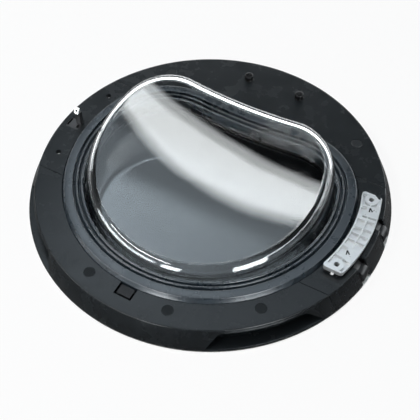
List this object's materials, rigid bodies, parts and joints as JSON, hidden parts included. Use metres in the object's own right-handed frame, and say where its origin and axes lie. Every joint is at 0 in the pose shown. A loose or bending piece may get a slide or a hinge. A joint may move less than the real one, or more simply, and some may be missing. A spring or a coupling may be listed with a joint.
{
  "type": "tumble dryer door",
  "caption": "Round tumble dryer door with a slanted glass bowl, rubber seal, black rear covers with finger recesses, hinge and latch hook.",
  "frame": {"origin": "centre of the door at its front plane, on which it lies", "axes": "+Z out of the rear face, +X towards the hinge, +Y towards the straight side of the glass, which is at the bottom when the door hangs"},
  "size_m": [0.48, 0.48, 0.0871],
  "materials": {
    "satin_ring": "satin silver lacquer on moulded plastic",
    "tinted_window": "polished, grey tint",
    "frame_black": "as moulded",
    "cover_black": "fine spark-eroded grain",
    "cap_black": "smooth matt",
    "clear_glass": "polished, pressed",
    "seal_rubber": "smooth slate grey",
    "buffer_rubber": "matt black",
    "screw_steel": "zinc plated",
    "bracket_steel": "zinc plated sheet",
    "hinge_black": "satin black",
    "hinge_cast": "die-cast, fine grain",
    "latch_black": "smooth black",
    "latch_steel": "bright nickel"
  },
  "bodies": {
    "door": {"trim_ring": "satin_ring", "front_window": "tinted_window", "carrier_ring": "frame_black", "ring_screws": "screw_steel", "glass_bowl": "clear_glass", "bowl_seal": "seal_rubber", "stop_cover": "cover_black", "grip_cover": "cover_black", "hinge_cover": "cover_black", "latch_cover": "cover_black", "cap_screws": "screw_steel", "plug_caps": "cap_black", "side_cover_screws": "screw_steel", "stop_buffer_left": "buffer_rubber", "stop_buffer_right": "buffer_rubber", "hinge_bracket": "bracket_steel", "bracket_screws": "screw_steel", "hinge_pin_upper": "screw_steel", "hinge_pin_lower": "screw_steel", "latch_holder": "latch_black", "latch_hook": "latch_steel", "latch_screws": "screw_steel"},
    "hinge_leaf": {"hinge_arm": "hinge_black", "hinge_plate": "hinge_cast", "hinge_end_screws": "screw_steel"}
  },
  "joints": [
    {"name": "hinge_swing", "type": "hinge", "parent": "door", "child": "hinge_leaf", "pos_m": [0.226, 0, 0.014], "axis": [0, 1, 0], "range_deg": [0, 150]}
  ]
}
